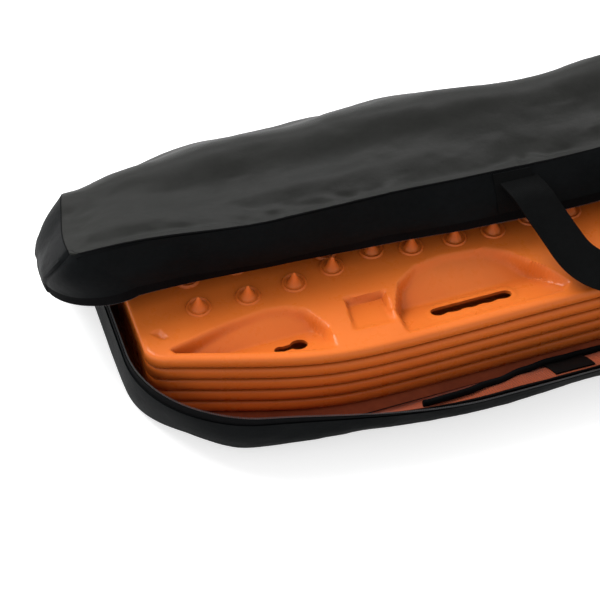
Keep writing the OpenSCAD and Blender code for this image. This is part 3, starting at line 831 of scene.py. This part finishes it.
def add_back_wall():
    spread = (np.linspace(BASE_Z - 0.5, 38, 8), np.linspace(40, 72, 22), np.linspace(76, BAG_H, 18))
    gx, gz = back_grid(0.5, spread, 150)
    calm = smooth((CORNER_X - np.abs(gx)) / 120) * smooth((BAG_H - gz) / 25) * smooth((gz - BASE_Z) / 20)
    wave = np.minimum((2.0 * noise(gx / 110, gz / 70, 31) - 1.2) * calm, 0.8)
    wall = sheet("back_wall_cloth", back_open(gx, wave, gz), FABRIC, WALL_CLOTH, "wall_fabric", True)
    spread = (np.linspace(BASE_Z + 1, 38, 6), np.linspace(40, 72, 20), np.linspace(76, BAG_H - 6, 14))
    gx, gz = back_grid(5, spread, 130)
    inside = back_open(gx, -FABRIC - THIN + 0.6 * noise(gx / 70, gz / 60, 32), gz)
    lining = sheet("back_wall_lining_cloth", inside, 1.0, DARK_CLOTH, "black_lining", True)
    places = (0, *BACK_A), (0, *BACK_B)
    cross(wall, ("tray", "back_wall"), *places, "back_wall_lower", "back_wall_upper")
    cross(lining, ("tray", "back_wall"), *places, "back_wall_lining")


def add_rear_corners():
    """The end fabric that closes each rear corner: a wing past the corner and a fan drawn between the back wall and the
    lid.
    """
    wall_angle = math.atan2(BACK_HINGE[1] - SPINE[1], BACK_HINGE[0] - SPINE[0])
    lid_angle = math.pi - TILT
    middle = (wall_angle + lid_angle) / 2
    half = 8 * np.array([math.sin(middle), -math.cos(middle)])
    inner = CORNER_X - 4
    depth = np.linspace(BAG_H - TAPE_TOP - 6, 0.5, 18)[:, None]
    wing_x = inner + (corner_reach(depth) - inner) * np.linspace(0, 1, 9)[None, :]
    wing_x = wing_x + 0.8 * noise(wing_x / 22, depth / 22, 33)
    # the fan's outer edge stays above the tray's zip when the bag is shut
    turn = np.linspace(0, 1, 40)[None, :]
    clear = BAG_H - TAPE_TOP - 10 - 7 * smooth(turn / 0.35)
    angle = wall_angle + (lid_angle - wall_angle) * turn
    share, opened = smooth((turn - 0.25) / 0.5), np.abs(angle - wall_angle)
    depth_kept = (1 - share) * np.cos(opened) + share * np.cos(opened + span("lid_level"))
    r = np.linspace(0.03, 1, 16)[:, None] * np.minimum(clear / np.maximum(depth_kept, 0.1), clear + 34)
    inward = smooth((turn - 0.55) / 0.45)
    fan_x = corner_reach(r) * (1 - inward) + (lid_half_length(r) - 4.0) * inward
    for s, tag in ((-1, "left"), (1, "right")):
        wing = turn_x(points(s * wing_x, HALF_W + 0 * wing_x, BAG_H - depth), BACK_HINGE, -BACK_TURN)
        hold(sheet(f"back_wall_corner_{tag}", wing, 1.6, WALL_CLOTH, "wall_fabric", s > 0, 70.0), "back_wall")
        fan = points(s * fan_x, SPINE[0] + r * np.cos(angle), SPINE[1] + r * np.sin(angle))
        fan = sheet(f"corner_gusset_{tag}", fan, THIN, WALL_CLOTH, "wall_fabric", s < 0, 70.0)
        cross(fan, ("back_wall", "lid_hem"), (0, *(SPINE - half)), (0, *(SPINE + half)))


# ---------------------------------------------------------------- the lid

LID_DIR = np.array([-math.cos(TILT), math.sin(TILT)])
SEAM_R = 9.0
RIM_R = 66.0
FOLD_REACH = 55.0
PANEL_L = LID_HALF_L + 12.0
FRONT_DIR = np.array([-math.cos(TILT - CREASE_TURN), math.sin(TILT - CREASE_TURN)])
FOLD_START = CREASE - FOLD_REACH * LID_DIR
FOLD_END = CREASE + FOLD_REACH * FRONT_DIR
LID_SPLIT = LID_REAR - 62.0
FLIP_HALF = 14.0
SIMULATED_FRAMES, MOST_LIFT = 20, 6.0


def lid_open(x, v, n):
    """Point of the lid from its place on the flat pattern: v back to front from the spine, n outward."""
    p = turn_x(points(x, SPINE[0] - v, SPINE[1] + n), SPINE, -TILT)
    return folded(p, CREASE, CREASE_TURN, FOLD_START, FOLD_END)


def over_crease(obj, *nodes):
    cross(obj, ("lid_rear", "lid_front"), (0, *FOLD_START), (0, *FOLD_END), *nodes)


def over_flip(obj, *nodes):
    a, b = (SPINE + (HEM + s * FLIP_HALF) * LID_DIR for s in (-1, 1))
    cross(obj, ("lid_hem", "lid_rear"), (0, *a), (0, *b), *nodes)


def near_front(v):
    """Share of the front seam's drift at a place v."""
    return smooth((v - LID_FRONT + 130) / 130)


def lid_half_length(v):
    """Half of the top panel's length at a place v: square in front, drawn in toward the spine."""
    corner = SEAM_R * shoulder((v - LID_FRONT + SEAM_R) / SEAM_R) + 10.0 * shoulder(1 - v / 22.0)
    return PANEL_L + 5.0 - 44.0 * (1 - smooth((v - 60) / 270)) - corner


SLACK_COLS, SLACK_ROWS = 150, 46


def slack_field():
    """Lift of the loose top cloth off its flat pattern, from a short cloth simulation held along the seams."""
    gx, gv = np.meshgrid(np.linspace(-PANEL_L, PANEL_L, SLACK_COLS), np.linspace(0, LID_FRONT, SLACK_ROWS))
    start = 3.0 * noise(gx / 120, gv / 70, 91, 2) * smooth(np.minimum(gv, LID_FRONT - gv) / 40)
    i = np.arange(gx.size).reshape(gx.shape)
    cloth = build("slack_cloth", points(gx, gv, start).reshape(-1, 3), quads(i).tolist(), LID_CLOTH)
    cloth.vertex_groups.new(name="seams").add(border(i).tolist(), 1.0, "REPLACE")
    mod = cloth.modifiers.new("slack", "CLOTH")
    settings = mod.settings
    settings.vertex_group_mass = "seams"
    settings.quality = 6
    settings.mass = 0.2
    settings.bending_stiffness = 0.08
    settings.shrink_min = settings.shrink_max = -0.004
    settings.use_pressure = True
    settings.uniform_pressure_force = 0.1
    settings.effector_weights.gravity = 0.0
    mod.collision_settings.use_collision = False
    mod.point_cache.frame_start, mod.point_cache.frame_end = 1, SIMULATED_FRAMES
    for f in range(1, SIMULATED_FRAMES + 1):
        bpy.context.scene.frame_set(f)
    mesh = cloth.evaluated_get(bpy.context.evaluated_depsgraph_get()).to_mesh()
    co = np.empty(len(mesh.vertices) * 3)
    mesh.vertices.foreach_get("co", co)
    lift = co[2::3].reshape(gx.shape) / MM
    bpy.data.objects.remove(cloth)
    bpy.context.scene.frame_set(1)
    return np.clip(0.5 * (lift - lift.mean()), -MOST_LIFT, MOST_LIFT)


SLACK = slack_field()


def slack(x, v):
    """The simulated lift at any place on the panel."""
    fx = np.clip((x + PANEL_L) / (2 * PANEL_L), 0, 0.9999) * (SLACK_COLS - 1)
    fv = np.clip(v / LID_FRONT, 0, 0.9999) * (SLACK_ROWS - 1)
    ix, iv = fx.astype(int), fv.astype(int)
    tx, tv = smooth(fx - ix), smooth(fv - iv)
    behind, ahead = (SLACK[iv + k, ix] * (1 - tx) + SLACK[iv + k, ix + 1] * tx for k in (0, 1))
    return behind * (1 - tv) + ahead * tv


def end_rise(x, v):
    """The stiff ends stand up a little where the lid folds over."""
    return 11.0 * bell((v - LID_REAR) / 70) * smooth((np.abs(x) - 430) / 150)


def lid_swell(x, v):
    """Padding, sag and wrinkles of the top panel, zero along its seams."""
    edge = np.minimum(lid_half_length(v) - np.abs(x), np.minimum(LID_FRONT - v, v + 2))
    back = smooth(v / 70) * (1 - smooth((v - 150) / 130)) * smooth((PANEL_L - np.abs(x)) / 215)
    rise = 7.0 * smooth(edge / 60) + (34.0 - 9.0 * bell(x / 120)) * back
    rise = rise * (0.85 + 0.3 * noise(x / 300, v / 200, 41, 2))
    fold = 1.5 * noise(x / 150 + v / 120, v / 60 - x / 400, 42, 2) * smooth(edge / 30)
    crumple = 0.5 * noise(x / 40 + v / 60, v / 26, 43, 2) * smooth(edge / 10)
    pucker = 1.3 * np.sin(x / 8.0 + 4 * noise(x / 60, v / 60, 44)) * bell((edge - 13) / 10)
    return rise + fold + crumple + slack(x, v) * smooth(edge / 16) + pucker * smooth(0.5 + noise(x / 70, 0 * v, 45, 2))


def seam_drift(x, share=0.0):
    """Slight wander of the front seam, in mm along the panel and outward; it fades toward the rim."""
    end = smooth((np.abs(x) - 400) / 190)
    along = -10.0 * end + 2.0 * noise(x / 160 + 0.4, 0 * x, 51, 2)
    drop = 13.0 * end * (1 - 0.7 * share) - 10.0 * bell(x / 190) * (1 - 0.3 * share)
    drop = drop - 3.0 * share * bell((np.abs(x) - 440) / 150)
    return along, drop + 1.2 * noise(x / 120, 0 * x + 2.0, 52, 2)


def lid_panel(name, v0, v1, cols, rows):
    v = np.linspace(v0, v1, rows)
    if v1 > LID_FRONT - 1:
        rolled = LID_FRONT - SEAM_R * (1 - np.sin(np.linspace(0, math.pi / 2, 9)[1:]))
        v = np.concatenate([np.linspace(v0, LID_FRONT - SEAM_R, rows - 8), rolled])
    gu, gv = np.meshgrid(np.linspace(-1, 1, cols), v)
    gx = gu * lid_half_length(gv)
    near = near_front(gv)
    along, drop = seam_drift(gx)
    p = lid_open(gx, gv + along * near, FABRIC + lid_swell(gx, gv) + drop * near + end_rise(gx, gv))
    return sheet(name, p, FABRIC, LID_CLOTH, "lid_fabric", True)


def lid_lining(name, v0, v1):
    gu, gv = np.meshgrid(np.linspace(-1, 1, 150), np.linspace(v0, v1, 40))
    gx = gu * (lid_half_length(gv) - 5)
    under = lid_swell(gx, gv) * 0.6 - 0.8 + seam_drift(gx)[1] * near_front(gv) + end_rise(gx, gv)
    return sheet(name, lid_open(gx, gv, under), 1.0, DARK_CLOTH, "black_lining", True)


def band_plan(radius, side_start):
    """Plan of the lid's band from the left flip line round the front to the right one: places (x, v) and normals."""
    cx, cv = PANEL_L - radius, LID_FRONT - radius
    v = np.linspace(side_start, cv, 60)[:-1]
    pts, nrm = joined_line([
        run(-lid_half_length(np.minimum(v, LID_FRONT - SEAM_R)), v, (-1, 0)),
        arc((-cx, cv), radius, 180, 90, 18),
        run(np.linspace(-cx, 0, 121)[1:], LID_FRONT, (0, 1)),
    ])
    return tuple(np.concatenate([half, half[-2::-1] * [-1, 1]]) for half in (pts, nrm))


def splay(v, share):
    """How far the end band stands out sideways below its seam."""
    narrow = 44.0 * (1 - smooth((v - 60) / 270)) - 30.0 * (1 - smooth(v / 240))
    return (12.0 + narrow + 16.0 * smooth(v / 120) - 6.0 * smooth((v - 250) / 100)) * share + 12.0 * bulge(share)


def front_flare(x, share):
    """How far the front band stands out below its seam."""
    return (3.0 + 13.0 * bell(x / 230) - 19.0 * bell((np.abs(x) - 440) / 150)) * share**1.2 + 5.0 * bulge(share)


def band_ripple(x, v, depth, share):
    return 3.0 * bulge(share, 0.7) * noise(x / 110 + v / 90, depth / 45 + v / 120, 61)


def band_points(depths, stand=0.0):
    """Grid on the band: one row for each depth below the seam."""
    rows = []
    for depth in depths:
        share = float(np.clip(depth / FULL_DEPTH, 0, 1))
        plan, nrm = band_plan(SEAM_R + (RIM_R - SEAM_R) * float(smooth(share * 1.1)), HEM + 0.5)
        x, v = plan.T
        ends = np.abs(nrm[:, 0])
        out = stand + splay(v, share) * ends + front_flare(x, share) * (1 - ends) + band_ripple(x, v, depth, share)
        out = out + 0.8 * bulge(share, 0.7) * noise(x / 30, depth / 20 + v / 30, 62)
        along, drop = seam_drift(x, share)
        near = near_front(v)
        up = drop * near + end_rise(x, v) * (1 - share)
        rows.append(lid_open(x + nrm[:, 0] * out, v + nrm[:, 1] * out + along * near, up - depth))
    return np.array(rows)


def band_nodes(part):
    """CAD nodes of one part of the band, round the lid."""
    sides = [f"lid_{place}_{part}_{tag}" for place in ("corner", "rear") for tag in ("left", "right")]
    return (f"lid_front_{part}", *sides)


def add_lid_top():
    cols = 260
    over_flip(lid_panel("lid_panel_rear", 1.0, LID_SPLIT, cols, 46), "lid_hem_panel", "lid_rear_panel")
    over_crease(lid_panel("lid_panel_front", LID_SPLIT, LID_FRONT, cols, 72), "lid_front_panel")
    over_flip(lid_lining("lid_lining_rear", 4.0, LID_SPLIT), "lid_rear_lining")
    over_crease(lid_lining("lid_lining_front", LID_SPLIT, LID_FRONT - 6), "lid_front_lining")


def add_lid_band():
    """Side band from one flip line to the other, with its zip, the seam above it and a row of stitches."""
    depths = np.concatenate([[0.0, 1.5, 3.5], np.linspace(7, BAND_DEPTH, 12)])
    over_crease(sheet("lid_band", band_points(depths), FABRIC, WALL_CLOTH, "wall_fabric"), *band_nodes("band"))
    tape = band_points(np.linspace(BAND_DEPTH - 2, BAND_DEPTH + TAPE_W + 1.4, 7), -0.6)
    over_crease(sheet("lid_zip_tape", tape, THIN, TAPE_CLOTH, "black_lining"), *band_nodes("zip_tape"))
    middle = BAND_DEPTH + TAPE_W + COIL / 2
    teeth = coil("lid_zip_coil", *band_points([middle, middle + 1], -1.2), band_points([middle], -2.2)[0])
    over_crease(teeth, *band_nodes("zip_coil"))
    over_crease(tube("lid_seam_ridge", band_points([-1.2], 0.6)[0], 1.3, DARK_CLOTH, "lid_fabric"))
    line, under = (band_points([BAND_DEPTH - 3.5], stand)[0] for stand in (0.4, -0.6))
    over_crease(stitches("lid_band_stitch", line, line - under))


def add_lid_hem():
    """The strip by the spine that stays put when the lid is thrown back."""
    v = np.linspace(2.0, HEM - 0.5, 24)
    gv, gs = np.meshgrid(v, np.linspace(0, 1, 12))
    depth = gs * (5 + (FULL_DEPTH - 5) * smooth(gv / 84) ** 0.8)
    for s, tag in ((-1, "left"), (1, "right")):
        p = lid_open(s * (lid_half_length(gv) + splay(gv, depth / FULL_DEPTH)), gv, -depth)
        band = sheet(f"lid_hem_side_{tag}", p, FABRIC, WALL_CLOTH, "wall_fabric", s > 0)
        hold(band, "lid_hem", f"lid_hem_band_{tag}")
        ridge = lid_open(s * (lid_half_length(v) + 0.6), v, 1.2 + 0 * v)
        hold(tube(f"lid_hem_ridge_{tag}", ridge, 1.6, LID_CLOTH, "lid_fabric"), "lid_hem")
    reach = float(lid_half_length(0.0))
    x = np.linspace(-reach, reach, 160)
    piping = points(x, SPINE[0] + 1.5, SPINE[1] - 0.6 + 0.3 * noise(x / 60, 0 * x, 71))
    hold(tube("spine_piping", piping, 3.2, WALL_CLOTH, "wall_fabric", 10), "lid_hem", "spine_binding")


# ---------------------------------------------------------------- handle, sliders and pulls

HANDLE_REACH, HANDLE_BEND, HANDLE_LEG, HANDLE_W = 190.0, 75.0, 108.0, 48.0
HANDLE_DROP = math.radians(28)
GRIP_RADII = np.array([2.6, 3.4, 3.6, 3.6, 3.6, 3.4, 2.6])


def handle_path():
    """Middle line of the loop in its own plane (x, reach) and the direction across the webbing."""
    centre = HANDLE_REACH - HANDLE_W / 2 - HANDLE_BEND
    steep = math.atan2(centre, HANDLE_LEG) + math.asin(HANDLE_BEND / math.hypot(HANDLE_LEG, centre))
    slant = np.array([-math.sin(steep), math.cos(steep)])
    t = np.linspace(0, 1, 22)[:-1, None]
    leg = (1 - t) * np.array([-HANDLE_LEG, -1.0]) + t * (HANDLE_BEND * slant + [0, centre])
    turn = smooth(t * 2.2)
    bend, outward = arc((0, centre), HANDLE_BEND, 90 + math.degrees(steep), 90, 24)
    path = np.concatenate([leg, bend])
    across = np.concatenate([np.array([-1.0, 0.0]) * (1 - turn) + slant * turn, outward])
    path, across = (np.concatenate([half, half[-2::-1] * [-1, 1]]) for half in (path, across))
    return path, unit(across)


def handle_place(path, across, k, lift=0.0):
    """Puts the loop's line in the room; k is the place across the webbing, -0.5 to 0.5."""
    gx, reach = (path[:, axis] + k * HANDLE_W * across[:, axis] for axis in (0, 1))
    waver = 1.5 * noise(gx / 90, reach / 90, 81, 2) * smooth(reach / 40)
    sag = -4.0 * bulge(np.clip(reach / HANDLE_REACH, 0, 1)) + waver
    twist = 7.0 * k * bulge(np.clip(reach / 150, 0, 1)) + 1.6 * np.cos(k * math.pi) * smooth(reach / 60)
    root = 18.0 * (1 - smooth(reach / 50))
    n = 1.3 + sag + twist + lift - root
    y = HANDLE_HINGE[0] - reach * math.cos(HANDLE_DROP) - n * math.sin(HANDLE_DROP)
    z = HANDLE_HINGE[1] - reach * math.sin(HANDLE_DROP) + n * math.cos(HANDLE_DROP)
    return points(gx, y, z)


def add_handle():
    path, across = handle_path()
    loop = handle_place(path, across, np.linspace(-0.5, 0.5, 9)[:, None])
    loop = sheet("handle_webbing", loop, 2.6, STRAP_CLOTH, "webbing")
    y, z = HANDLE_HINGE
    cross(loop, ("lid_front", "handle"), (0, y - 1, z), (0, y - 14, z - 7), "front_handle")
    for k, tag in ((0.43, "outer"), (-0.43, "inner")):
        line = handle_place(path[4:-4], across[4:-4], k, 0.3)
        up = np.array([[0, -math.sin(HANDLE_DROP), math.cos(HANDLE_DROP)]]).repeat(len(line), 0)
        hold(stitches(f"handle_stitch_{tag}", line, up, "webbing", 4.4, (3.0, 0.9, 0.9)), "handle")
    for s, tag in ((-1, "left"), (1, "right")):
        patch_x = np.linspace(-HANDLE_W / 2, HANDLE_W / 2, 12) + s * HANDLE_LEG
        gx, gd = np.meshgrid(patch_x, np.linspace(0.5, BAND_DEPTH - 3, 13))
        share = np.clip(gd / FULL_DEPTH, 0, 1)
        along, fall = seam_drift(gx, share)
        out = front_flare(gx, share) + 3.0 + band_ripple(gx, LID_FRONT, gd, share)
        p = lid_open(gx, LID_FRONT + out + along, -gd + fall)
        patch = sheet(f"handle_patch_{tag}", p, 2.4, STRAP_CLOTH, "webbing")
        hold(patch, "lid_front", f"handle_anchor_{tag}")


def add_sliders():
    for tag, s in (("left", -1), ("right", 1)):
        materials = frame["nodes"][f"zip_slider_{tag}"].data.materials
        materials.clear()
        materials.append(SLIDER_METAL)
        lo, hi = low(f"zip_pull_{tag}"), high(f"zip_pull_{tag}")
        x, y = (lo + hi)[:2] / 2
        zs = np.linspace(hi[2], lo[2] - 4, 14)
        swing = np.linspace(0, 1, 14) ** 1.5
        cord = points(x + s * (1.0 + 4.0 * swing), y + 1.2 * np.sin(zs / 6), zs)
        pull = tube(f"pull_cord_{tag}", cord, 2.1, STRAP_CLOTH, "webbing", 10)
        hold(pull, f"slider_{tag}", f"zip_pull_{tag}")
        grip = tube(f"pull_grip_{tag}", cord[7:] + [0, 0, -1.0], GRIP_RADII, SLIDER_METAL, "slider_metal", 12)
        hold(grip, f"slider_{tag}")


# ---------------------------------------------------------------- stage, light and camera


def aimed(obj, place, direction):
    obj.location = place
    obj.rotation_mode = "QUATERNION"
    obj.rotation_quaternion = direction.to_track_quat("-Z", "Y")
    return obj


def area(name, place, target, size, power):
    lamp = bpy.data.lights.new(name, "AREA")
    lamp.shape, lamp.size, lamp.size_y = "RECTANGLE", size[0], size[1]
    lamp.energy = power
    aimed(link(name, lamp), place, Vector(target) - Vector(place))


def add_stage():
    """A pale floor and world, brighter where the camera sees them than in the light they give."""
    mesh = bpy.data.meshes.new("floor")
    mesh.from_pydata([(-30, -30, 0), (30, -30, 0), (30, 30, 0), (-30, 30, 0)], [], [(0, 1, 2, 3)])
    m = Nodes("floor")
    seen = m.tree.nodes.new("ShaderNodeLightPath").outputs["Is Camera Ray"]
    glow = m.ramp(seen, 0.12, 0.62, 0, 1)
    white = (1, 1, 1, 1)
    pale = (0.75, 0.75, 0.75, 1)
    mesh.materials.append(m.surface(
        Base_Color=pale, Emission_Color=white, Emission_Strength=glow, Roughness=0.9, Specular_IOR_Level=0.1
    ))
    floor = link("floor", mesh)
    floor.location.z = -0.0005
    world = bpy.data.worlds.new("studio")
    world.use_nodes = True
    nodes, links = world.node_tree.nodes, world.node_tree.links
    level = nodes.new("ShaderNodeMapRange")
    level.inputs["To Min"].default_value = 0.68
    level.inputs["To Max"].default_value = 1.0
    links.new(nodes.new("ShaderNodeLightPath").outputs["Is Camera Ray"], level.inputs["Value"])
    nodes["Background"].inputs[0].default_value = white
    links.new(level.outputs["Result"], nodes["Background"].inputs[1])
    bpy.context.scene.world = world
    bpy.context.scene.view_settings.view_transform = "Standard"
    area("key", (-1.4, 1.3, 2.2), (-0.2, 0, 0.1), (1.5, 1.1), 62)
    area("rim", (0.4, 2.7, 1.2), (0, 0.2, 0.15), (3.0, 0.5), 30)
    area("fill", (-2.2, -1.8, 1.5), (-0.3, 0, 0.1), (1.6, 1.2), 1.5)


def add_camera():
    azimuth, elevation, distance = math.radians(-18.79), math.radians(49.10), 2.543
    level = math.cos(elevation)
    back = Vector((math.sin(azimuth) * level, -math.cos(azimuth) * level, math.sin(elevation)))
    right = Vector((math.cos(azimuth), math.sin(azimuth), 0))
    aim = right * -0.3487 + back.cross(right) * -0.0626
    camera = bpy.data.cameras.new("camera")
    camera.lens, camera.sensor_width = 120, 36
    bpy.context.scene.camera = aimed(link("camera", camera), aim + back * distance, -back)


add_boards()
add_tray()
add_back_wall()
add_rear_corners()
add_lid_top()
add_lid_band()
add_lid_hem()
add_handle()
add_sliders()
add_stage()
add_camera()
bpy.context.view_layer.update()
